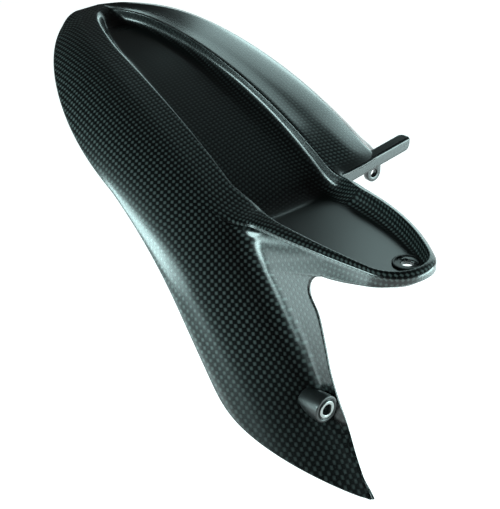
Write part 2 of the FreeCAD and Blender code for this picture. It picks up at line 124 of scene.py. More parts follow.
class MudguardFinish(bpy.types.PropertyGroup):
    """Colours and weave of the finishes."""

    tow_width: bpy.props.FloatProperty(
        name="Tow width", description="Width of one tow of the plain weave", default=0.00245, unit="LENGTH")
    # The dark tow is the carbon's own near-black; the pale tow colour is a painted highlight that stands in
    # for the sheen of the tows facing the lamps
    tow_dark: bpy.props.FloatVectorProperty(
        name="Dark tow", description="Tows that turn away from the light", subtype="COLOR", size=3,
        default=(0.0025, 0.0035, 0.0035))
    tow_painted_sheen: bpy.props.FloatVectorProperty(
        name="Light tow", description="Tows that face the light", subtype="COLOR", size=3,
        default=(0.085, 0.108, 0.104))
    rubber: bpy.props.FloatVectorProperty(
        name="Rubber", description="Colour of the grommet", subtype="COLOR", size=3,
        default=(0.010, 0.011, 0.011))
    plastic: bpy.props.FloatVectorProperty(
        name="Boss", description="Colour of the boss", subtype="COLOR", size=3,
        default=(0.008, 0.009, 0.009))
    metal: bpy.props.FloatVectorProperty(
        name="Bush", description="Colour of the turned bush", subtype="COLOR", size=3,
        default=(0.42, 0.44, 0.43))
    floor: bpy.props.FloatVectorProperty(
        name="Floor", description="Colour of the stage floor", subtype="COLOR", size=3,
        default=(0.86, 0.86, 0.86))


# Numbers of the formulas that a user would not change one by one, in millimetres and degrees about the axle
# Arch: its rear end, its middle plane and where it meets the tongue
REAR = -2.48
MIDDLE = -4.1
KINK = 39.5
KINK_BACK = 104.1
KINK_HEIGHT = 7.3
TONGUE_START = 45.0
# Lower edges: angle behind nought where they begin, angle and power of their opening, reach and drift
EDGE_BEHIND = 2.9
EDGE_SPAN = 30.0
EDGE_POWER = 0.64
EDGE_RIGHT, DRIFT_RIGHT = 100.0, 0.167
EDGE_LEFT, DRIFT_LEFT = 102.0, 0.5
# Spoon recess: where it begins, angle and power of its opening, reach, rounding of its end and its shift
RECESS_BEHIND = 0.6
RECESS_SPAN = 29.6
RECESS_POWER = 0.65
RECESS_REACH = 45.5
RECESS_ROUND = 6.0
RECESS_SHIFT = 5.0
# Fall of the lands from the rim to the outer edge
CROWN_RIGHT = 1.3
CROWN_LEFT = 2.8
# Right recess wall: shares rounded over at the rim and hollowed at the foot
TOP_RIGHT, HOLLOW_RIGHT = 0.50, 0.40
# Left recess wall: slope of its straight part, and radii of rim and foot as shares of the depth
WALL_SLOPE = math.radians(77.0)
WALL_LIP = 0.10
WALL_HOLLOW = 0.80
# Steps of the columns across the lands, the recess wall, the floor and the flanks
EDGE_STEPS = 6
LAND_STEPS = 8
WALL_STEPS = np.linspace(0.0, 1.0, 16)[1:]
FLOOR_STEPS = 9
FLANK_STEPS = 26
# Web: angles where it starts and where its corner lies, and its leaning plane
WEB_START = 36.0
WEB_CORNER = 38.6
WEB_SIDE = -41.63
WEB_TOE = 0.1129
WEB_LEAN = 0.2017
# Angles at the tongue's side, the top of its wall and the start of the web's free edge
SIDE_TURN = 41.5
WALL_TURN = 44.8
EDGE_TURN = 45.4
# Notch under the tongue: its corner, then x, height and angle of its round
NOTCH_X = -30.0
NOTCH_Z = -4.0
NOTCH_ROUND = ((-34.0, -6.0, 45.9), (-36.7, -9.2, 46.8), (-37.6, -12.9, 48.0), (-36.8, -16.8, 49.4),
               (-34.1, -21.3, 51.0))
# Angles of the web's free edge below the notch
WEB_LOW = (52.6, 54.0, 56.5, 59.0, 62.0, 65.0, 68.0, 70.0, 71.3, 72.1)
# Skirt: its crease at the kink and the spread of the crease, then start and length of its tip
CREASE_SIDE = 51.5
CREASE_SPREAD = 0.33
TIP_START = 54.5
TIP_SPAN = 17.65
# Side tab with its lip and ear
TAB_FRONT = -106.0
TAB_DEPTH = 8.5
TAB_ROOT = 50.0
TAB_LENGTH = 66.2
TAB_LIP = 9.0
TAB_TOP = 10.2
TAB_SLOPE = math.tan(math.radians(7.3))
TAB_CORNER = 1.8
TAB_END = 4.0
EAR_MIDDLE = (81.0, 1.5)
EAR_RADIUS = 6.5
EAR_HOLE = 3.0
# Mounts: bore, neck and dish of the grommet, and bore of the bush
GROMMET_BORE = 4.25
GROMMET_NECK = 7.5
GROMMET_DISH = 8.4
BUSH_BORE = 3.8
# Cloth: tow that its numbers are written for, length of its bend and the bend's power
CLOTH_TOW = 2.45
CLOTH_BEND = 293.0
CLOTH_POWER = 3.3
# Camera: bearing and rise, distance and focus in metres, sensor in millimetres
VIEW_TURN, VIEW_RISE = 41.5, 26.6
VIEW_DISTANCE = 1.3
VIEW_FOCUS = (-0.150, -0.020, 0.0)
SENSOR = 36.0
# Picture: focal length, height and shift of the middle, in picture points
PICTURE_LENS = 1875.8
PICTURE_HEIGHT = 509.0
PICTURE_RIGHT, PICTURE_DOWN = 19.59, 59.74
# Lights: aims in metres, then name, place, aim, width, height and watts of each
WEB_AIM = (-0.05, -0.05, -0.03)
TAB_AIM = (-0.09, 0.05, 0.0)
ARCH_AIM = (-0.15, 0.0, 0.0)
LIGHT_COLOUR = (0.72, 1.0, 1.0)
LIGHTS = (
    ("left_softbox", (-0.40, -1.15, 0.33), ARCH_AIM, 0.50, 0.26, 10.0),
    ("hollow_card", (-0.07, -1.08, 0.35), WEB_AIM, 0.22, 0.24, 1.3),
    ("rear_softbox", (-1.05, -0.76, 0.20), ARCH_AIM, 1.0, 0.30, 1.0),
    ("left_card", (-0.38, -0.54, -0.075), WEB_AIM, 0.5, 0.16, 1.1),
    ("right_softbox", (0.30, 0.36, -0.02), TAB_AIM, 0.5, 0.24, 4.6),
    ("back_softbox", (-0.77, 1.66, 0.66), ARCH_AIM, 1.32, 1.20, 9.2),
    ("back_strip", (-1.30, 1.50, 0.25), ARCH_AIM, 1.0, 0.42, 2.4),
)


def sizes_in_mm():
    """All lengths of the size group as plain numbers in millimetres."""
    group = bpy.context.scene.mudguard_sizes
    names = MudguardSizes.__annotations__
    return SimpleNamespace(**{name: getattr(group, name) / MM for name in names})


def smooth(x):
    """Smooth step: three x squared less two x cubed, between nought and one."""
    x = np.clip(x, 0.0, 1.0)
    return x * x * (3.0 - 2.0 * x)


def soft_max(a, b, reach):
    """Larger of two heights, rounded by a parabola where they differ by less than the reach."""
    gap = np.maximum(reach - np.abs(a - b), 0.0)
    return np.maximum(a, b) + gap * gap / (4.0 * reach)


def run_through(points, count):
    """Smooth curve through a few points, evenly spread (Catmull-Rom, cubic between neighbours)."""
    points = np.asarray(points, float)
    ends = np.vstack([2 * points[0] - points[1], points, 2 * points[-1] - points[-2]])
    place = np.linspace(0.0, len(points) - 1.0, count)
    first = np.minimum(place.astype(int), len(points) - 2)
    t = (place - first)[:, None]
    a, b, c, d = (ends[first + k] for k in range(4))
    square = 2 * a - 5 * b + 4 * c - d
    cube = 3 * b - a - 3 * c + d
    return 0.5 * (2 * b + (c - a) * t + square * t ** 2 + cube * t ** 3)


def place(angle, side, radius, g):
    """Point at an angle about the axle, a side place and a radius, as arrays."""
    turn = np.radians(angle)
    kink = math.radians(KINK)
    back = KINK_BACK + g.arch_radius * math.sin(kink)
    drop = g.arch_radius * math.cos(kink) - KINK_HEIGHT
    angle, side, radius, turn = np.broadcast_arrays(angle, side, radius, turn)
    return np.stack([radius * np.sin(turn) - back, side + 0.0, radius * np.cos(turn) - drop], axis=-1)


def opening(angle, reach, drift):
    """Reach of a lower edge: a sine of a power of the angle past the rear, then a slow drift."""
    past = angle + EDGE_BEHIND
    share = np.clip(past / EDGE_SPAN, 0.004, 1.0)
    return reach * np.sin(QUARTER * share ** EDGE_POWER) + drift * np.maximum(0.0, past - EDGE_SPAN)


def arch_lines(angle, g):
    """Edges, shoulders and recess rims at an angle, as side places."""
    past = np.maximum(angle + RECESS_BEHIND, 0.0)
    share = np.minimum(past / RECESS_SPAN, 1.4)
    over = np.maximum(past - RECESS_SPAN, 0.0)
    swell = RECESS_REACH * np.sin(QUARTER * share ** RECESS_POWER)
    widest = RECESS_REACH * np.sin(QUARTER * np.minimum(share, 1.0) ** RECESS_POWER)
    spread = 15.0 * (1.0 - np.exp(-past / 2.2)) + 0.77 * past
    rim_r = RECESS_SHIFT - np.sqrt(RECESS_ROUND ** 2 + (swell - 0.1 * over ** 2) ** 2)
    flat_r = np.sqrt(RECESS_ROUND ** 2 + widest ** 2) + 6.5
    rim_l = RECESS_SHIFT + np.sqrt(RECESS_ROUND ** 2 + spread ** 2)
    edge_r = opening(angle, EDGE_RIGHT, DRIFT_RIGHT)
    edge_l = opening(angle, EDGE_LEFT, DRIFT_LEFT)
    flat_r = np.minimum(flat_r, edge_r - 2.0)
    flat_l = np.minimum(rim_l + 13.0, edge_l - 2.0)
    rim_r = np.maximum(rim_r, -0.7 * flat_r)
    rim_l = np.minimum(rim_l, 0.7 * flat_l)
    gain = smooth((angle - 26.0) / 13.5)
    run = g.recess_rear_run + (g.recess_run - g.recess_rear_run) * smooth((angle - 8.0) / 16.0)
    run = np.minimum(run, 0.35 * (rim_l - rim_r))
    deep = g.recess_rear_depth + (g.recess_depth - g.recess_rear_depth) * gain
    deep = deep * smooth(past / 2.6)
    split = flat_r + np.minimum(9.9 * smooth((angle - 26.0) / 10.0), edge_r - flat_r - 1.0)
    return SimpleNamespace(edge_r=edge_r, edge_l=edge_l, flat_r=flat_r, flat_l=flat_l, rim_r=rim_r,
                           rim_l=rim_l, run=run, deep=deep, split=split)


def dome_radius(reach, flat, g):
    """Radius of the dome at a reach to one side: flat crest, then a round shoulder."""
    lean = np.arcsin(np.clip((reach - flat) / g.shoulder_radius, 0.0, 1.0))
    return g.arch_radius - g.shoulder_radius * (1.0 - np.cos(lean))


def rolled_flank(angle, edge, start, flat, crest, hand, count, g, roll_count=5):
    """Flank from its rolled edge to a start line: shoulder arc, then a small roll at the trimmed edge."""
    rho = g.shoulder_radius
    lean_edge = np.arcsin(np.clip((edge - flat) / rho, -1.0, 1.0))
    lean_start = np.arcsin(np.clip((start - flat) / rho, -1.0, 1.0))
    lean = lean_edge + (lean_start - lean_edge) * np.linspace(0.0, 1.0, count)[None, :]
    reach = flat + rho * np.sin(lean)
    radius = crest - rho + rho * np.cos(lean)
    roll = np.minimum(g.edge_roll, 0.3 * (edge - start))
    turn = np.radians(np.linspace(75.0, 15.0, roll_count))[None, :]
    reach_roll = flat + (rho - roll) * np.sin(lean_edge) + roll * np.sin(lean_edge + turn)
    radius_roll = crest - rho + (rho - roll) * np.cos(lean_edge) + roll * np.cos(lean_edge + turn)
    reach = np.concatenate([reach_roll, reach], axis=1)
    radius = np.concatenate([radius_roll, radius], axis=1)
    return place(angle, hand * reach, radius, g)


def wall_share(t, top, hollow):
    """Fall of a recess wall from rim to foot: short parabola, straight slope and wider hollow parabola."""
    steep = 1.0 / (1.0 - 0.5 * (top + hollow))
    convex = np.minimum(t, top) ** 2 / (2.0 * top)
    straight = np.clip(t - top, 0.0, 1.0 - top - hollow)
    concave = 0.5 * hollow - np.clip(1.0 - t, 0.0, hollow) ** 2 / (2.0 * hollow)
    return steep * (convex + straight + concave)


def right_wall():
    """Shares of the run and of the fall along the right recess wall."""
    return WALL_STEPS, wall_share(WALL_STEPS, TOP_RIGHT, HOLLOW_RIGHT)


def left_wall():
    """Shares of run and fall along the left recess wall: small round, steep straight, round foot."""
    sine, cosine = math.sin(WALL_SLOPE), math.cos(WALL_SLOPE)
    straight = 1.0 - (WALL_LIP + WALL_HOLLOW) * (1.0 - cosine)
    turn = np.linspace(0.0, WALL_SLOPE, 6)[1:]
    back = np.linspace(WALL_SLOPE, 0.0, 10)
    begin = WALL_LIP * sine + straight * cosine / sine
    run = np.concatenate([WALL_LIP * np.sin(turn), begin + WALL_HOLLOW * (sine - np.sin(back))])
    fall = np.concatenate([WALL_LIP * (1.0 - np.cos(turn)), 1.0 - WALL_HOLLOW * (1.0 - np.cos(back))])
    return run / run[-1], fall


def half_columns(outer, rim, foot, spine, crown, wall_line, g):
    """Plan places from the outer edge of a land to the spine, with share of wall and fall of the land.

    The land falls by a parabola from the rim to the outer edge, and a round of constant radius goes
    on from its slope to the upright.
    """
    sign = np.sign(rim - outer)
    slope = np.arctan2(2.0 * crown, np.abs(rim - outer))
    turn = QUARTER + (slope - QUARTER) * np.linspace(0.0, 1.0, EDGE_STEPS)[None, :]
    edge = outer + sign * g.land_round * (1.0 - np.sin(turn))
    inner = edge[:, -1:]
    out = np.linspace(1.0, 0.0, LAND_STEPS + 1)[None, 1:]
    land = rim + (inner - rim) * out
    steps, drop = wall_line
    wall = rim + (foot - rim) * steps[None, :]
    floor = foot + (spine - foot) * np.linspace(0.0, 1.0, FLOOR_STEPS + 1)[None, 1:]
    side = np.concatenate([edge, land, wall, floor], axis=1)
    ones = np.ones_like(rim)
    fall = np.concatenate([crown + g.land_round * (np.cos(slope) - np.cos(turn)), crown * out ** 2,
                           0 * wall, 0 * floor], axis=1)
    share = np.concatenate([0 * edge, 0 * land, ones * drop[None, :],
                            1 + 0 * floor], axis=1)
    return side, share, fall


def web_side(x, z):
    """Side place of the leaning web plane."""
    return WEB_SIDE + WEB_TOE * x + WEB_LEAN * z


def tongue_right(x):
    """Outer edge of the tongue's right land, as a straight line in plan."""
    return -37.5 + 0.103 * x


def tongue_root(x):
    """Right rim, left rim and left edge where the tongue leaves the arch, as straight lines in plan."""
    return -31.4 + 0.155 * (-104.0 - x), 42.0 + 0.2 * (-84.0 - x), 49.6 + 0.19 * (-84.0 - x)


def arch_rows():
    """Angles of the rows: close at the rear end, then even up to the tongue."""
    rear = REAR + (WEB_START - REAR) * np.linspace(0.0, 1.0, 112) ** 1.5
    kink = np.linspace(WEB_START, KINK, 9)[1:]
    front = np.linspace(KINK, TONGUE_START, 13)[1:]
    return np.concatenate([rear, kink, front]), len(rear), len(rear) + len(kink)


def arch_centre(angle, g):
    """Lands, recess walls and floor from the right split to the left land, blending into the tongue."""
    line = arch_lines(angle, g)
    crest_x = place(angle, 0.0, g.arch_radius, g)[..., 0]
    blend = smooth((angle - 34.0) / 8.0)
    jog = smooth((angle - 39.0) / 4.2)
    start = arch_lines(np.array([[WEB_START]]), g).split
    flared = -start + (tongue_right(crest_x) + start) * smooth((angle - WEB_START) / 6.3)
    outer_r = np.where(angle < WEB_START, -line.split, flared)
    root_r, root_l, root_edge = tongue_root(crest_x)
    rim_r = line.rim_r + (root_r - line.rim_r) * blend
    run_r = 10.0 - 7.0 * smooth((angle - 8.0) / 22.0)
    foot_r = rim_r + np.minimum(run_r, 0.5 * (line.rim_l - line.rim_r))
    rim_l = line.rim_l + (root_l - line.rim_l) * jog
    land_l = np.minimum(1.2, 0.5 * (line.flat_l - line.rim_l))
    outer_l = line.rim_l + land_l + (root_edge - line.rim_l - land_l) * jog
    foot_l = rim_l - line.run
    spine = 0.5 * (foot_r + foot_l)
    same = np.ones_like(angle)
    side_r, share_r, fall_r = half_columns(outer_r, rim_r, foot_r, spine, CROWN_RIGHT * same,
                                           right_wall(), g)
    side_l, share_l, fall_l = half_columns(outer_l, rim_l, foot_l, spine, CROWN_LEFT * same,
                                           left_wall(), g)
    side = np.concatenate([side_r, side_l[:, -2::-1]], axis=1)
    share = np.concatenate([share_r, share_l[:, -2::-1]], axis=1)
    flat = np.where(side < 0.0, line.flat_r, line.flat_l)
    radius = dome_radius(np.abs(side), flat, g) - line.deep * share
    grid = place(angle, side, radius, g)
    arch_z = grid[..., 2]
    tray_z = g.tray_height * (1.0 - share)
    lifted = soft_max(arch_z, tray_z, 7.0)
    risen = smooth((lifted[:, :1] - arch_z[:, :1] - 0.1) / 4.0)
    free = smooth((angle - KINK) / 2.5)
    fall = np.concatenate([fall_r * risen, (fall_l * free)[:, -2::-1]], axis=1)
    grid[..., 2] = lifted - fall
    return grid, side_r.shape[1]


def shelf_height(side):
    """Upper face of the tab's shelf at a side place."""
    return TAB_TOP + (side - TAB_ROOT) * TAB_SLOPE


def left_flank(angle, start, g):
    """Left flank from the land to its rolled edge, swept up into the tab's shelf at the front."""
    line = arch_lines(angle, g)
    end = angle - 2.6 * smooth((angle - 33.0) / 6.5) * smooth((np.linspace(0, 1, 40)[None, :] - 0.45) / 0.3)
    reach0 = start[:, :1]
    flat = line.flat_l
    rho = g.shoulder_radius
    lean_edge = np.arcsin(np.clip((line.edge_l - flat) / rho, 0.0, 1.0))
    land = reach0 + (flat - reach0) * np.linspace(0.0, 1.0, 9)[None, :]
    lean = lean_edge * np.linspace(0.0, 1.0, 27)[None, 1:]
    turn = np.radians(np.linspace(15.0, 75.0, 5))[None, :]
    roll = np.minimum(g.edge_roll, 0.3 * (line.edge_l - flat))
    reach_roll = flat + (rho - roll) * np.sin(lean_edge) + roll * np.sin(lean_edge + turn)
    reach = np.concatenate([land, flat + rho * np.sin(lean), reach_roll], axis=1)
    base = g.arch_radius - rho
    radius_roll = base + (rho - roll) * np.cos(lean_edge) + roll * np.cos(lean_edge + turn)
    radius = np.concatenate([g.arch_radius + 0 * land, base + rho * np.cos(lean), radius_roll], axis=1)
    sweep = 0.72 * (line.edge_l - reach0)
    bow = 0.055 * sweep * np.sin(np.pi * np.clip((reach - reach0) / sweep, 0.0, 1.0))
    radius = radius - bow * (1.0 - smooth((angle - 29.0) / 7.0))
    grid = place(end, reach, radius, g)
    keep = 1.0 - smooth((reach - 84.0) / 10.0)
    near = 1.0 - smooth((reach - reach0) / 6.0)
    shelf = shelf_height(reach) - 0.25 + (g.tray_height - TAB_TOP) * near
    lifted = soft_max(grid[..., 2], shelf, 9.0)
    grid[..., 2] += (lifted - grid[..., 2]) * keep
    return grid


def tongue_line(right, left, bulge_r, bulge_l, tip_x, radius, count_side, count_tip):
    """Plan line of the tongue: a bulged right side, a round tip and a bulged left side."""
    middle = np.array([tip_x, -9.0])
    runs = []
    headings = []
    for corner, bulge, sign in ((right, bulge_r, -1.0), (left, bulge_l, 1.0)):
        reach = np.asarray(corner) - middle
        length = np.hypot(*reach)
        heading = math.atan2(reach[1], reach[0]) - sign * math.acos(radius / length)
        heading -= sign * 4.0 * bulge / length
        touch = middle + radius * np.array([math.cos(heading), math.sin(heading)])
        t = np.linspace(0.0, 1.0, count_side + 1)[:, None]
        way = touch - np.asarray(corner)
        out = sign * np.array([-way[1], way[0]]) / np.hypot(*way)
        runs.append(np.asarray(corner) + way * t + out * bulge * 4.0 * t * (1.0 - t))
        headings.append(heading)
    turn = np.linspace(headings[0], headings[1], count_tip + 1)[1:-1]
    tip = middle + radius * np.stack([np.cos(turn), np.sin(turn)], axis=1)
    return np.concatenate([runs[0], tip, runs[1][::-1]], axis=0)


def tongue_tray(last, half, g, count_side=40, count_tip=56):
    """Land, inner wall and floor of the tongue, from its outer line in to the spine and the mount hole."""
    right = last[:half]
    left = last[half - 1:][::-1]
    rim_at = EDGE_STEPS + LAND_STEPS - 1
    foot_at = rim_at + len(WALL_STEPS)
    lines = []
    for index, radius, bulges, tip_x in ((0, 27.5, (0.8, 6.6), 0.0), (rim_at, 24.0, (1.2, 6.4), -1.4),
                                         (foot_at, 21.2, (1.2, 6.0), -1.8)):
        lines.append(tongue_line(right[index, :2], left[index, :2], bulges[0], bulges[1], tip_x, radius,
                                 count_side, count_tip))
    outer, rim, base = lines
    t = np.linspace(0.0, 1.0, count_side + 1)[:, None]
    back = right[-1, :2]
    hole = np.array([0.0, -MIDDLE])
    spine = back + (hole - np.array([GROMMET_NECK, 0.0]) - back) * t
    turn = np.pi + np.linspace(0.0, 2 * np.pi, count_tip + 1)[1:-1]
    ring = hole + GROMMET_NECK * np.stack([np.cos(turn), np.sin(turn)], axis=1)
    inner = np.concatenate([spine, ring, spine[::-1]], axis=0)
    width = np.linalg.norm(rim - outer, axis=1)[:, None]
    way = ((rim - outer) / width)[:, None]
    path = np.linspace(0.0, 1.0, len(outer))[:, None]
    crown = CROWN_RIGHT + (CROWN_LEFT - CROWN_RIGHT) * smooth(path)
    steps, drop = (a[None, :] + (b - a)[None, :] * smooth(path) for a, b in zip(right_wall(), left_wall()))
    slope = np.arctan2(2.0 * crown, width)
    psi = QUARTER + (slope - QUARTER) * np.linspace(0.0, 1.0, EDGE_STEPS)[None, :]
    edge = outer[:, None] + way * (g.land_round * (1.0 - np.sin(psi)))[:, :, None]
    out = np.linspace(1.0, 0.0, LAND_STEPS + 1)[None, 1:]
    land = rim[:, None] + (edge[:, -1] - rim)[:, None] * out[:, :, None]
    wall = rim[:, None] + (base - rim)[:, None] * steps[:, :, None]
    floor = base[:, None] + (inner - base)[:, None] * np.linspace(0, 1, FLOOR_STEPS + 1)[None, 1:, None]
    plan = np.concatenate([edge, land, wall, floor], axis=1)
    fall = np.concatenate([crown + g.land_round * (np.cos(slope) - np.cos(psi)), crown * out ** 2,
                           g.tray_height * drop,
                           g.tray_height + np.zeros((len(plan), FLOOR_STEPS))], axis=1)
    grid = np.concatenate([plan, (g.tray_height - fall)[:, :, None]], axis=2)
    grid[0] = right
    grid[-1] = left
    return grid


def tongue_wall(top):
    """Outer wall of the tongue, hung from its rounded edge down to a lower line that rises to the front."""
    tangent = np.gradient(top[:, :2], axis=0)
    out = np.stack([tangent[:, 1], -tangent[:, 0]], axis=1)
    out /= np.linalg.norm(out, axis=1, keepdims=True)
    low = NOTCH_Z + soft_max(0 * top[:, 0], 0.166 * (top[:, 0] + 19.0), 1.5)
    share = np.linspace(0.0, 1.0, 9)
    path = np.linspace(0.0, 1.0, len(top))
    lean = 0.32 * (1.0 - 0.9 * smooth(path / 0.3))
    depth = (top[:, 2] - low)[:, None] * share[None, :]
    plan = top[:, None, :2] + out[:, None] * (depth * lean[:, None])[:, :, None]
    grid = np.concatenate([plan, (top[:, 2][:, None] - depth)[:, :, None]], axis=2)
    roll = smooth(path / 0.05)[:, None]
    turn = np.radians(np.linspace(20.0, 80.0, 4))[None, :]
    curl = grid[:, -1:, :].repeat(4, axis=1)
    curl[..., :2] -= out[:, None] * (roll * (1.0 - np.cos(turn)))[:, :, None]
    curl[..., 2] -= roll * np.sin(turn)
    grid = np.concatenate([grid, curl], axis=1)
    grid[..., 2] += roll * np.concatenate([share, np.ones(4)])[None, :] ** 3
    return grid


def skirt_crest(angle, g):
    """Crest of the skirt: a tangent line off the arch that bends out a little towards the tip."""
    past = np.maximum(angle - TONGUE_START, 0.0)
    return g.arch_radius / np.cos(np.radians(past)) + 2.7 * np.maximum((angle - 58.0) / 14.0, 0.0) ** 2


def skirt_edges(angle):
    """Outer edge of the skirt and its crease with the web, as distances to the right."""
    inner = CREASE_SIDE + CREASE_SPREAD * (angle - KINK)
    outer = opening(angle, EDGE_RIGHT, DRIFT_RIGHT)
    past = np.maximum((angle - TIP_START) / TIP_SPAN, 0.0)
    outer = inner + (outer - inner) * np.maximum(1.0 - past ** 3.2, 0.0) ** 0.95
    return outer, inner


def skirt_and_web(angle, top, line, g):
    """Skirt with its hollow fillet, and the web: shoulder arc, parabola and straight rise to a top line."""
    outer, crease = skirt_edges(angle)
    crease = line.split + (crease - line.split) * smooth((angle - 37.4) / 4.2)
    flat = line.flat_r + 0 * angle
    crest = skirt_crest(angle, g)
    lean = np.arcsin(np.clip((crease - flat) / g.shoulder_radius, -1.0, 1.0))
    corner = place(angle, -crease, crest - g.shoulder_radius * (1.0 - np.cos(lean)), g)[:, 0]
    rise = top - corner
    length = np.linalg.norm(rise, axis=1)[:, None]
    reach = np.minimum(np.minimum(g.crease_fillet, 0.45 * length), 0.45 * (outer - crease))
    panel = rolled_flank(angle, outer, crease + reach, flat, crest, -1.0, FLANK_STEPS, g)
    start = panel[:, -1]
    finish = corner + rise * (reach / np.maximum(length, 1e-6))
    t = np.linspace(0.0, 1.0, 12)[None, 1:, None]
    hollow = (1 - t) ** 2 * start[:, None] + 2 * t * (1 - t) * corner[:, None] + t ** 2 * finish[:, None]
    web = finish[:, None] + (top - finish)[:, None] * np.linspace(0, 1, 13)[None, :, None]
    return np.concatenate([panel, hollow], axis=1), web


def side_tab():
    """Tab: shelf, rounded corner and lip as one profile carried out to the side, with a rounded end."""
    side = TAB_ROOT + TAB_LENGTH * np.linspace(0.0, 1.0, 60) ** 0.8
    end = np.clip((side - (TAB_ROOT + TAB_LENGTH - TAB_END)) / TAB_END, 0.0, 1.0)
    round_off = TAB_END * (1.0 - np.sqrt(1.0 - end * end))
    corner = TAB_CORNER
    turn = np.radians(np.linspace(0.0, 90.0, 8))
    shelf = np.linspace(0.0, 1.0, 8)[None, :-1]
    depth = (TAB_DEPTH - corner - round_off)[:, None]
    x_shelf = TAB_FRONT - corner - depth * (1.0 - shelf)
    x_corner = TAB_FRONT - corner + corner * np.sin(turn)[None, :] + 0 * depth
    lip = np.linspace(0.0, 1.0, 8)[None, 1:]
    height = (TAB_LIP - corner - round_off)[:, None]
    x = np.concatenate([x_shelf, x_corner, TAB_FRONT + 0 * height * lip], axis=1)
    fall = np.concatenate([0 * x_shelf, corner * (1.0 - np.cos(turn))[None, :] + 0 * depth,
                           corner + height * lip], axis=1)
    top = shelf_height(side)[:, None]
    return np.stack([x, side[:, None] + 0 * x, top - fall], axis=2)


def tab_ear():
    """Ear under the lip as a thick eye: rays from its hole to a round end, over front, rim and back."""
    turn = np.linspace(0.0, 2 * np.pi, 65)
    way = np.stack([np.cos(turn), np.sin(turn)], axis=1)
    up = np.maximum(way[:, 1], 0.0)
    far = np.minimum(EAR_RADIUS / np.maximum(np.abs(way[:, 0]), 1e-6), 8.6 / np.maximum(up, 1e-6))
    far = np.where(way[:, 1] > 0, far, EAR_RADIUS)
    share = np.array([0.0, 0.08, 0.5, 0.92, 1.0, 1.0, 1.0, 0.92, 0.5, 0.08, 0.0, 0.0, 0.0])
    back = np.array([0.25, 0.0, 0.0, 0.0, 0.25, 2.0, 3.75, 4.0, 4.0, 4.0, 3.75, 2.0, 0.25])
    reach = EAR_HOLE + (far[:, None] - EAR_HOLE) * share[None, :]
    flat = np.array(EAR_MIDDLE) + way[:, None] * reach[:, :, None]
    x = TAB_FRONT - 0.05 - back[None, :, None] + 0 * flat[..., :1]
    return np.concatenate([x, flat], axis=2)


def cloth_place(along, across, tow):
    """Weave coordinates in tows of a bias-laid cloth that turns slowly towards the skirt."""
    near = np.where(across < 0, across, 20.0 * (1.0 - np.exp(-np.maximum(across, 0.0) / 20.0)))
    bent = np.clip(along, 0.0, CLOTH_BEND)
    curve = 0.231 * CLOTH_BEND / CLOTH_POWER * (bent / CLOTH_BEND) ** CLOTH_POWER
    bend = curve + 0.268 * np.maximum(along - CLOTH_BEND, 0.0)
    u = 0.385 * along - bend + 0.00043 * bent * near + 0.245 * across
    v = 0.384 * along - 0.343 * across + 0.0007 * along * near
    return np.stack([u, v], axis=-1) * (CLOTH_TOW / tow)


def flat_cloth(along, across, tow):
    """Weave coordinates of a bias-laid cloth: sum and difference of two lengths over the root of two."""
    return np.stack([along + across, along - across], axis=-1) * (math.sqrt(0.5) / tow)


def web_cloth(web, tow):
    """Weave coordinates of the web, whose cloth lies askew on an upright plane."""
    level = math.sqrt(0.5) * (web[..., 0] - web[..., 2])
    slant = math.sqrt(0.5) * (web[..., 0] + web[..., 2])
    u = 0.12 * level + 0.371 * slant
    v = 0.338 * level - 0.134 * slant
    return np.stack([u, v], axis=-1) * (CLOTH_TOW / tow)


def run_lengths(grid, axis):
    """Distance along the rows or columns of a grid, counted from its first line."""
    step = np.linalg.norm(np.diff(grid, axis=axis), axis=2)
    pad = [(0, 0), (0, 0)]
    pad[axis] = (1, 0)
    return np.cumsum(np.pad(step, pad), axis=axis)


def grid_faces(shape, flip):
    """Quads of a grid of points, wound one way or the other."""
    rows, columns = shape
    index = np.arange(rows * columns).reshape(rows, columns)
    corners = [index[:-1, :-1], index[:-1, 1:], index[1:, 1:], index[1:, :-1]]
    quads = np.stack(corners, axis=-1).reshape(-1, 4)
    return quads[:, ::-1] if flip else quads


def sheet_mesh(name, parts):
    """One mesh from grids in millimetres with weave coordinates, joined where borders coincide."""
    points, quads, weave, shown, start = [], [], [], [], 0
    for grid, cloth, show, flip in parts:
        points.append(grid.reshape(-1, 3))
        weave.append(cloth.reshape(-1, 2))
        shown.append((show + np.zeros(grid.shape[:2])).reshape(-1))
        quads.append(grid_faces(grid.shape[:2], flip) + start)
        start += grid.shape[0] * grid.shape[1]
    points = np.concatenate(points) * MM
    points[:, 1] += MIDDLE * MM
    weave = np.concatenate(weave)
    shown = np.concatenate(shown)
    quads = np.concatenate(quads)
    mesh = bpy.data.meshes.new(name)
    mesh.from_pydata(points, [], quads.tolist())
    layer = mesh.uv_layers.new(name="weave")
    layer.data.foreach_set("uv", weave[quads.reshape(-1)].astype(np.float32).reshape(-1))
    # Second map, finish: share of the tow relief and of the painted tow highlight
    finish = mesh.uv_layers.new(name="finish")
    both = np.stack([shown, shown], axis=1)
    finish.data.foreach_set("uv", both[quads.reshape(-1)].astype(np.float32).reshape(-1))
    build = bmesh.new()
    build.from_mesh(mesh)
    bmesh.ops.remove_doubles(build, verts=build.verts, dist=2e-5)
    bmesh.ops.dissolve_degenerate(build, edges=build.edges, dist=1e-6)
    build.to_mesh(mesh)
    build.free()
    mesh.polygons.foreach_set("use_smooth", np.ones(len(mesh.polygons), bool))
    mesh.update()
    return mesh


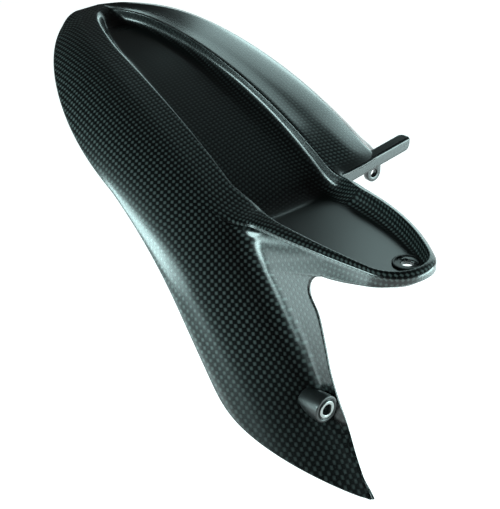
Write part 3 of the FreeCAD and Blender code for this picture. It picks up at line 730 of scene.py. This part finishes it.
def turned_mesh(name, profile, axis, centre, count=72):
    """Closed profile of radius and height carried round an axis, as one closed ring."""
    profile = np.asarray(profile, float)
    turn = np.linspace(0.0, 2 * np.pi, count, endpoint=False)[:, None]
    radius = profile[None, :, 0]
    along = profile[None, :, 1] + 0 * turn
    a = radius * np.cos(turn)
    b = radius * np.sin(turn)
    order = {"Z": (a, b, along), "X": (along, a, b)}[axis]
    points = (np.stack(order, axis=-1) + np.asarray(centre)) * MM
    rows, columns = points.shape[:2]
    index = np.arange(rows * columns).reshape(rows, columns)
    ahead = np.roll(index, -1, axis=0)
    beside = np.roll(index, -1, axis=1)
    both = np.roll(ahead, -1, axis=1)
    quads = np.stack([index, ahead, both, beside], axis=-1).reshape(-1, 4)
    mesh = bpy.data.meshes.new(name)
    mesh.from_pydata(points.reshape(-1, 3), [], quads.tolist())
    build = bmesh.new()
    build.from_mesh(mesh)
    bmesh.ops.recalc_face_normals(build, faces=build.faces)
    build.to_mesh(mesh)
    build.free()
    mesh.polygons.foreach_set("use_smooth", np.ones(len(mesh.polygons), bool))
    mesh.update()
    return mesh


def rounded_profile(corners, radius, steps=4):
    """Closed profile whose corners are rounded by short parabolas of a given tangent length."""
    corners = np.asarray(corners, float)
    before = np.roll(corners, 1, axis=0) - corners
    after = np.roll(corners, -1, axis=0) - corners
    room_before = np.linalg.norm(before, axis=1, keepdims=True)
    room_after = np.linalg.norm(after, axis=1, keepdims=True)
    cut = np.minimum(np.asarray(radius, float).reshape(-1, 1), 0.45 * np.minimum(room_before, room_after))
    start = corners + before / room_before * cut
    finish = corners + after / room_after * cut
    t = np.linspace(0.0, 1.0, steps)[None, :, None]
    curve = (1 - t) ** 2 * start[:, None] + 2 * t * (1 - t) * corners[:, None] + t ** 2 * finish[:, None]
    return curve.reshape(-1, 2)


def new_material(name):
    """Empty node material with its shader and output joined."""
    material = bpy.data.materials.new(name)
    material.use_nodes = True
    tree = material.node_tree
    shader = tree.nodes["Principled BSDF"]
    return material, tree, shader


def maths(tree, operation, first, second=None):
    """Maths node whose inputs are sockets or numbers, giving its output socket."""
    node = tree.nodes.new("ShaderNodeMath")
    node.operation = operation
    for slot, value in ((0, first), (1, second)):
        if value is None:
            continue
        if isinstance(value, (int, float)):
            node.inputs[slot].default_value = value
        else:
            tree.links.new(value, node.inputs[slot])
    return node.outputs[0]


def mixed(tree, share, first, second):
    """Colour mixed by a share between two colours or sockets."""
    node = tree.nodes.new("ShaderNodeMix")
    node.data_type = "RGBA"
    tree.links.new(share, node.inputs["Factor"])
    for socket, value in ((node.inputs[6], first), (node.inputs[7], second)):
        if hasattr(value, "is_output"):
            tree.links.new(value, socket)
        else:
            socket.default_value = tuple(value) + (1.0,)
    return node.outputs[2]


def carbon_material():
    """Plain-weave carbon under a satin coat, on the cloth's own coordinates, with a painted highlight on
    every other tow.
    """
    finish = bpy.context.scene.mudguard_finish
    material, tree, shader = new_material("satin_carbon_weave")
    cloth = tree.nodes.new("ShaderNodeUVMap")
    cloth.uv_map = "weave"
    split = tree.nodes.new("ShaderNodeSeparateXYZ")
    tree.links.new(cloth.outputs[0], split.inputs[0])
    u, v = split.outputs[0], split.outputs[1]
    cells = maths(tree, "ADD", maths(tree, "FLOOR", u), maths(tree, "FLOOR", v))
    parity = maths(tree, "FLOORED_MODULO", cells, 2.0)
    over_u = maths(tree, "SINE", maths(tree, "MULTIPLY", maths(tree, "FRACT", u), math.pi))
    over_v = maths(tree, "SINE", maths(tree, "MULTIPLY", maths(tree, "FRACT", v), math.pi))
    warp = maths(tree, "MULTIPLY", maths(tree, "POWER", over_u, 0.8), maths(tree, "POWER", over_v, 0.4))
    weft = maths(tree, "MULTIPLY", maths(tree, "POWER", over_v, 0.8), maths(tree, "POWER", over_u, 0.4))
    less = maths(tree, "SUBTRACT", 1.0, parity)
    crown = maths(tree, "ADD", maths(tree, "MULTIPLY", warp, less), maths(tree, "MULTIPLY", weft, parity))
    # Finish map: share of the tow relief and of the painted tow highlight, low on the crest and the floors
    depth = tree.nodes.new("ShaderNodeUVMap")
    depth.uv_map = "finish"
    shown = tree.nodes.new("ShaderNodeSeparateXYZ")
    tree.links.new(depth.outputs[0], shown.inputs[0])
    crown = maths(tree, "MULTIPLY", crown, shown.outputs[0])
    fibre = tree.nodes.new("ShaderNodeTexNoise")
    fibre.inputs["Scale"].default_value = 9.0
    fibre.inputs["Detail"].default_value = 3.0
    tree.links.new(cloth.outputs[0], fibre.inputs["Vector"])
    # Painted highlight: the warp tows of every other cell are mixed towards the pale tow colour, scaled by
    # the share in the finish map and by the fibre noise
    painted_tow_sheen = maths(tree, "MULTIPLY", maths(tree, "POWER", warp, 1.4), less)
    painted_tow_sheen = maths(tree, "MULTIPLY", painted_tow_sheen, shown.outputs[0])
    strands = maths(tree, "ADD", maths(tree, "MULTIPLY", fibre.outputs[0], 0.7), 0.65)
    painted_tow_sheen = maths(tree, "MULTIPLY", painted_tow_sheen, strands)
    tree.links.new(mixed(tree, painted_tow_sheen, finish.tow_dark, finish.tow_painted_sheen), shader.inputs["Base Color"])
    rough = maths(tree, "ADD", maths(tree, "MULTIPLY", crown, -0.08), 0.46)
    tree.links.new(rough, shader.inputs["Roughness"])
    bump = tree.nodes.new("ShaderNodeBump")
    bump.inputs["Strength"].default_value = 0.22
    bump.inputs["Distance"].default_value = 0.0003
    tree.links.new(crown, bump.inputs["Height"])
    tree.links.new(bump.outputs[0], shader.inputs["Normal"])
    shader.inputs["Specular IOR Level"].default_value = 0.12
    shader.inputs["Coat Weight"].default_value = 1.0
    shader.inputs["Coat Roughness"].default_value = 0.20
    return material


def grained_material(name, colour, roughness, grain, depth, metallic=0.0, coat=0.0):
    """Smooth solid finish with a fine grain and slight changes of shade, on Object coordinates."""
    material, tree, shader = new_material(name)
    where = tree.nodes.new("ShaderNodeTexCoord")
    noise = tree.nodes.new("ShaderNodeTexNoise")
    noise.inputs["Scale"].default_value = grain
    noise.inputs["Detail"].default_value = 4.0
    tree.links.new(where.outputs["Object"], noise.inputs["Vector"])
    pale = tuple(min(1.0, 1.5 * c + 0.004) for c in colour)
    tree.links.new(mixed(tree, noise.outputs[0], colour, pale), shader.inputs["Base Color"])
    tree.links.new(maths(tree, "ADD", maths(tree, "MULTIPLY", noise.outputs[0], 0.12), roughness - 0.06),
                   shader.inputs["Roughness"])
    bump = tree.nodes.new("ShaderNodeBump")
    bump.inputs["Strength"].default_value = depth
    bump.inputs["Distance"].default_value = 0.0002
    tree.links.new(noise.outputs[0], bump.inputs["Height"])
    tree.links.new(bump.outputs[0], shader.inputs["Normal"])
    shader.inputs["Metallic"].default_value = metallic
    shader.inputs["Coat Weight"].default_value = coat
    shader.inputs["Coat Roughness"].default_value = 0.12
    return material


def turned_metal_material(name, colour, axis):
    """Turned metal: fine rings round the axis of the bush, on Object coordinates."""
    material, tree, shader = new_material(name)
    where = tree.nodes.new("ShaderNodeTexCoord")
    wave = tree.nodes.new("ShaderNodeTexWave")
    wave.wave_type = "BANDS"
    wave.bands_direction = axis
    wave.inputs["Scale"].default_value = 900.0
    wave.inputs["Distortion"].default_value = 1.5
    tree.links.new(where.outputs["Object"], wave.inputs["Vector"])
    dark = tuple(0.72 * c for c in colour)
    tree.links.new(mixed(tree, wave.outputs["Fac"], dark, colour), shader.inputs["Base Color"])
    tree.links.new(maths(tree, "ADD", maths(tree, "MULTIPLY", wave.outputs["Fac"], 0.1), 0.24),
                   shader.inputs["Roughness"])
    shader.inputs["Metallic"].default_value = 1.0
    return material


def add_piece(name, mesh, material, node):
    """Link a finished piece, ride it on the part and let it stand for its solid."""
    piece = bpy.data.objects.new(name, mesh)
    bpy.context.scene.collection.objects.link(piece)
    mesh.materials.append(material)
    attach(piece, "root")
    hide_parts(node)
    return piece


def web_edge(start, g):
    """Free edge of the web from the tongue's wall to the skirt's tip, as x, side, height and angle.

    It rounds the notch, then stands above the skirt's crest by two bell curves of the angle, one of
    them dying out at the tip.
    """
    front = [(start[0], web_side(start[0], start[2]), start[2], EDGE_TURN)]
    front += [(x, web_side(x, z), z, turn) for x, z, turn in NOTCH_ROUND]
    low = np.array(WEB_LOW)
    ending = np.clip((low[-1] - low) / 8.0, 0.0, 1.0)
    height = 0.6 + (5.4 + 3.0 * np.exp(-((low - 66.0) / 4.5) ** 2)) * ending
    height = height + 23.0 * np.exp(-((low - 50.3) / 9.5) ** 2)
    # Below the boss the web lies down into the panel
    lying = smooth((low - 60.5) / 8.0)
    cut = place(low, 0.0, skirt_crest(low, g) + height * (1.0 - 0.85 * lying), g)
    inward = web_side(cut[:, 0], cut[:, 2]) + 0.9 * lying * height
    front += [(p[0], side, p[2], turn) for p, side, turn in zip(cut, inward, low)]
    front = run_through(front, 110)
    # The edge leaves the tongue's wall and runs into the plane of the web
    aside = start[1] - web_side(start[0], start[2])
    front[:, 1] += aside * (1.0 - smooth((front[:, 3] - EDGE_TURN) / 24.0))
    return front


def skirt_angles(rows, side_count, wall_count, edge):
    """Angle of each line across the skirt: slowed past the corner, then even along side and wall."""
    slow = (SIDE_TURN - WEB_CORNER) / (TONGUE_START - WEB_CORNER)
    past_corner = np.maximum(rows - WEB_CORNER, 0.0)
    return np.concatenate([np.minimum(rows, WEB_CORNER) + past_corner * slow,
                           np.linspace(SIDE_TURN, WALL_TURN, side_count + 1)[1:],
                           np.linspace(WALL_TURN, EDGE_TURN, wall_count + 2)[1:-1], edge])


def weave_and_sheen_shown(angle, turns, columns, steps, kink_row):
    """Share of the tow relief and of the painted tow highlight on centre, left flank, tray and skirt, as
    smooth steps.

    Little shows on the crest and the floors, and all of it on the right flank.
    """
    past = smooth((angle - 6.0) / 22.0)
    column = np.arange(columns)[None, :]
    floor_at = EDGE_STEPS + LAND_STEPS + len(WALL_STEPS)
    from_right = smooth((column - floor_at + 3.0) / 3.0)
    from_left = smooth((columns - 1 - floor_at + 3.0 - column) / 3.0)
    on_floor = from_right * from_left
    on_left = smooth((column - columns + EDGE_STEPS + LAND_STEPS + 1.0) / 2.0)
    bare = 1.0 - smooth((angle - 38.0) / 3.0)
    on_wall = np.clip((column - columns + floor_at) / 2.0, 0.0, 1.0) * bare
    centre = 1.0 - 0.7 * on_wall * (1.0 - on_left)
    centre = centre + on_floor * (0.40 * past * bare - 1.0) + on_left * (0.55 * past + 0.05 - 1.0)
    centre = np.clip(centre, 0.0, 1.0)
    centre = centre * (0.35 + 0.65 * smooth((angle + 1.0) / 12.0))
    left = 0.05 + 0.55 * past[:kink_row] * smooth((38.6 - angle[:kink_row]) / 2.0)
    tray = 1.0 - smooth((np.arange(steps)[None, :] - floor_at + 4.0) / 4.0)
    skirt = 1.0 - 0.6 * smooth((turns[:, None] - 50.0) / 14.0)
    return centre, left, tray, skirt


class MUDGUARD_OT_shell(bpy.types.Operator):
    """Build the carbon moulding as one sheet with its laminate wall"""
    bl_idname = "mudguard.shell"
    bl_label = "Carbon moulding"

    def execute(self, context):
        g = sizes_in_mm()
        tow = context.scene.mudguard_finish.tow_width / MM
        rows, web_row, kink_row = arch_rows()
        angle = rows[:, None]
        centre, half = arch_centre(angle, g)
        line = arch_lines(angle, g)
        flank = rolled_flank(angle[:web_row], line.edge_r[:web_row], line.split[:web_row],
                             line.flat_r[:web_row], g.arch_radius, -1.0, FLANK_STEPS, g)
        left = left_flank(angle[:kink_row], centre[:kink_row, -1:, 1], g)
        left[:, 0] = centre[:kink_row, -1]
        tray = tongue_tray(centre[-1], half, g)
        notch = int(np.argmin(np.abs(tray[:50, 0, 0] - NOTCH_X)))
        top = np.concatenate([tray[notch:, 0], centre[kink_row - 1:-1, -1][::-1]], axis=0)
        wall = tongue_wall(top)
        front = web_edge(wall[0, -1], g)
        drop = wall[0, 1:8]
        tops = np.concatenate([centre[web_row - 1:, 0], tray[1:notch + 1, 0], drop, front[:, :3]], axis=0)
        turns = skirt_angles(rows[web_row - 1:], notch, len(drop), front[:, 3])
        at_web = arch_lines(np.array([[WEB_START]]), g)
        skirt, web = skirt_and_web(turns[:, None], tops, at_web, g)
        tab = side_tab()
        ear = tab_ear()
        # Cloth of each surface, carried on from its neighbour where one sheet of cloth covers both
        along = (np.radians(rows) * g.arch_radius)[:, None]
        across = run_lengths(centre, 1)
        across = across - across[:, half - 1:half]
        cloth_centre = cloth_place(along, across, tow)
        first = across[:web_row, :1]
        reach = run_lengths(flank, 1)
        cloth_flank = cloth_place(along[:web_row], first + reach - reach[:, -1:], tow)
        beyond = across[:kink_row, -1:] + run_lengths(left, 1)
        cloth_left = cloth_place(along[:kink_row], beyond, tow)
        ahead = np.radians(turns)[:, None] * g.arch_radius
        lean = np.arcsin(np.clip((-skirt[..., 1] - at_web.flat_r) / g.shoulder_radius, -1.0, 1.0))
        split_lean = np.arcsin((at_web.split - at_web.flat_r) / g.shoulder_radius)
        width = first[-1, 0] - g.shoulder_radius * (lean - split_lean)
        cloth_skirt = cloth_place(ahead, width, tow)
        rim_at = EDGE_STEPS + LAND_STEPS - 1
        round_tray = run_lengths(tray[:, rim_at:rim_at + 1], 0)[:, :1] + 0 * tray[..., 0]
        round_wall = run_lengths(wall, 0)[:, :1] + 0 * wall[..., 0]
        cloth_tray = flat_cloth(round_tray, run_lengths(tray, 1), tow)
        cloth_wall = flat_cloth(round_wall, run_lengths(wall, 1), tow)
        cloth_tab = flat_cloth(tab[..., 1], run_lengths(tab, 1), tow)
        cloth_ear = flat_cloth(ear[..., 1], ear[..., 2], tow)
        show_centre, show_left, show_tray, show_skirt = weave_and_sheen_shown(
            angle, turns, centre.shape[1], tray.shape[1], kink_row)
        mesh = sheet_mesh("carbon_moulding", [
            (flank, cloth_flank, 1.0, True), (centre, cloth_centre, show_centre, True),
            (left, cloth_left, show_left, True), (tray, cloth_tray, show_tray, True),
            (wall, cloth_wall, 0.7, False), (skirt, cloth_skirt, show_skirt, True),
            (web, web_cloth(web, tow), 0.45, True), (tab, cloth_tab, 0.05, False),
            (ear, cloth_ear, 0.0, False)])
        piece = add_piece("carbon_moulding", mesh, carbon_material(), "mudguard_shell")
        laminate = piece.modifiers.new("laminate_wall", "SOLIDIFY")
        laminate.thickness = g.wall * MM
        laminate.offset = -1.0
        laminate.use_rim = True
        return {"FINISHED"}


class MUDGUARD_OT_grommet(bpy.types.Operator):
    """Build the rubber ring of the front mount"""

    bl_idname = "mudguard.grommet"
    bl_label = "Front mount grommet"

    def execute(self, context):
        g = sizes_in_mm()
        r = g.grommet_radius
        bore, neck, dish = GROMMET_BORE, GROMMET_NECK, GROMMET_DISH
        under, seat, lip = -3.0, 0.5, 1.4
        corners = [(bore, under), (r, under), (r, -g.wall), (neck, -g.wall), (neck, 0.0), (r, 0.0),
                   (r, lip), (dish, lip), (dish, seat), (bore, seat)]
        radii = [0.5, 0.9, 0.5, 0.2, 0.2, 0.3, 0.6, 0.5, 0.3, 0.5]
        mesh = turned_mesh("rubber_grommet", rounded_profile(corners, radii), "Z", (0.0, 0.0, 0.0))
        colour = context.scene.mudguard_finish.rubber
        rubber = grained_material("black_rubber", colour, 0.42, 1400.0, 0.12, coat=0.2)
        add_piece("rubber_grommet", mesh, rubber, "front_mount_grommet")
        return {"FINISHED"}


class MUDGUARD_OT_boss(bpy.types.Operator):
    """Build the smooth boss of the lower mount"""

    bl_idname = "mudguard.boss"
    bl_label = "Lower mount boss"

    def execute(self, context):
        g = sizes_in_mm()
        low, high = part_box("lower_mount_boss")
        centre = (0.0, 0.5 * (low.y + high.y) / MM, 0.5 * (low.z + high.z) / MM)
        back, front = low.x / MM, high.x / MM
        r, inner = g.boss_radius, g.bush_radius
        corners = [(inner, back), (inner + 0.7, back), (r, front - 8.0), (r, front), (inner + 1.3, front),
                   (inner + 0.7, front - 0.7), (inner, front - 0.7)]
        radii = [0.3, 0.3, 3.0, 1.4, 0.5, 0.3, 0.3]
        mesh = turned_mesh("mount_boss", rounded_profile(corners, radii, 5), "X", centre)
        colour = context.scene.mudguard_finish.plastic
        plastic = grained_material("smooth_black", colour, 0.40, 900.0, 0.03, coat=0.2)
        add_piece("mount_boss", mesh, plastic, "lower_mount_boss")
        return {"FINISHED"}


class MUDGUARD_OT_bush(bpy.types.Operator):
    """Build the turned bush in the boss"""

    bl_idname = "mudguard.bush"
    bl_label = "Lower mount bush"

    def execute(self, context):
        g = sizes_in_mm()
        low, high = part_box("lower_mount_bush")
        centre = (0.0, 0.5 * (low.y + high.y) / MM, 0.5 * (low.z + high.z) / MM)
        back, front = low.x / MM, high.x / MM
        corners = [(BUSH_BORE, back), (g.bush_radius, back), (g.bush_radius, front), (BUSH_BORE, front)]
        profile = rounded_profile(corners, [0.3, 0.3, 0.5, 0.7], 5)
        mesh = turned_mesh("turned_bush", profile, "X", centre)
        metal = turned_metal_material("turned_metal", context.scene.mudguard_finish.metal, "X")
        add_piece("turned_bush", mesh, metal, "lower_mount_bush")
        return {"FINISHED"}


def area_light(name, place_m, aim_m, width, height, power):
    """Soft rectangular light at a place, turned to an aim."""
    data = bpy.data.lights.new(name, "AREA")
    data.shape = "RECTANGLE"
    data.size = width
    data.size_y = height
    data.energy = power
    data.color = LIGHT_COLOUR
    lamp = bpy.data.objects.new(name, data)
    bpy.context.scene.collection.objects.link(lamp)
    lamp.location = place_m
    lamp.rotation_euler = (Vector(aim_m) - Vector(place_m)).to_track_quat("-Z", "Y").to_euler()
    return lamp


class MUDGUARD_OT_stage(bpy.types.Operator):
    """Build the pale floor, the soft lights and the camera"""

    bl_idname = "mudguard.stage"
    bl_label = "Stage, lights and camera"

    def execute(self, context):
        scene = context.scene
        level = CAD_LOW.z - 0.02
        across = np.linspace(-6.0, 6.0, 13)
        x, y = np.meshgrid(across, across, indexing="ij")
        points = np.stack([x, y, np.full_like(x, level)], axis=-1)
        mesh = bpy.data.meshes.new("stage_floor")
        mesh.from_pydata(points.reshape(-1, 3), [], grid_faces(points.shape[:2], True).tolist())
        floor = bpy.data.objects.new("stage_floor", mesh)
        scene.collection.objects.link(floor)
        paper = grained_material("pale_floor", scene.mudguard_finish.floor, 0.7, 3.0, 0.0)
        glow = paper.node_tree.nodes["Principled BSDF"]
        glow.inputs["Emission Color"].default_value = (1.0, 1.0, 1.0, 1.0)
        glow.inputs["Emission Strength"].default_value = 0.75
        mesh.materials.append(paper)
        # Axes of the photographer's view: right, up and towards the camera
        turn, rise = math.radians(VIEW_TURN), math.radians(VIEW_RISE)
        toward = Vector((math.cos(rise) * math.cos(turn), -math.cos(rise) * math.sin(turn), math.sin(rise)))
        right = Vector((math.sin(turn), math.cos(turn), 0.0))
        up = toward.cross(right)
        spot = Vector(VIEW_FOCUS) + VIEW_DISTANCE * toward
        aim = -toward + right * (PICTURE_RIGHT / PICTURE_LENS) - up * (PICTURE_DOWN / PICTURE_LENS)
        aim.normalize()
        tilt = (-toward).rotation_difference(aim).to_matrix()
        axes = [tilt @ axis for axis in (right, up, toward)]
        data = bpy.data.cameras.new("photo_camera")
        data.sensor_width = SENSOR
        data.lens = PICTURE_LENS * SENSOR / PICTURE_HEIGHT
        data.clip_end = 50.0
        camera = bpy.data.objects.new("photo_camera", data)
        scene.collection.objects.link(camera)
        camera.matrix_world = Matrix.Translation(spot) @ Matrix(axes).transposed().to_4x4()
        scene.camera = camera
        for light in LIGHTS:
            area_light(*light)
        world = bpy.data.worlds.new("studio_world")
        world.use_nodes = True
        world.node_tree.nodes["Background"].inputs["Color"].default_value = (1.0, 1.0, 1.0, 1.0)
        world.node_tree.nodes["Background"].inputs["Strength"].default_value = 0.03
        scene.world = world
        scene.view_settings.view_transform = "Standard"
        return {"FINISHED"}


class MUDGUARD_PT_panel(bpy.types.Panel):
    """Panel in the sidebar that lists the builders and their values"""

    bl_idname = "MUDGUARD_PT_panel"
    bl_label = "Rear mudguard"
    bl_space_type = "VIEW_3D"
    bl_region_type = "UI"
    bl_category = "Mudguard"

    def draw(self, context):
        layout = self.layout
        for builder in BUILDERS:
            layout.operator(builder.bl_idname)
        for group, names in ((context.scene.mudguard_sizes, MudguardSizes.__annotations__),
                             (context.scene.mudguard_finish, MudguardFinish.__annotations__)):
            box = layout.box()
            for name in names:
                box.prop(group, name)


BUILDERS = (MUDGUARD_OT_shell, MUDGUARD_OT_grommet, MUDGUARD_OT_boss, MUDGUARD_OT_bush, MUDGUARD_OT_stage)
CLASSES = (MudguardSizes, MudguardFinish) + BUILDERS + (MUDGUARD_PT_panel,)


def register():
    """Register the classes and hang the value groups on the scene."""
    for entry in CLASSES:
        bpy.utils.register_class(entry)
    bpy.types.Scene.mudguard_sizes = bpy.props.PointerProperty(type=MudguardSizes)
    bpy.types.Scene.mudguard_finish = bpy.props.PointerProperty(type=MudguardFinish)


def unregister():
    """Take the value groups and the classes away again."""
    del bpy.types.Scene.mudguard_finish
    del bpy.types.Scene.mudguard_sizes
    for entry in reversed(CLASSES):
        bpy.utils.unregister_class(entry)


def main():
    """Register and build every piece in order."""
    register()
    bpy.ops.mudguard.shell()
    bpy.ops.mudguard.grommet()
    bpy.ops.mudguard.boss()
    bpy.ops.mudguard.bush()
    bpy.ops.mudguard.stage()


if __name__ == "__main__":
    main()
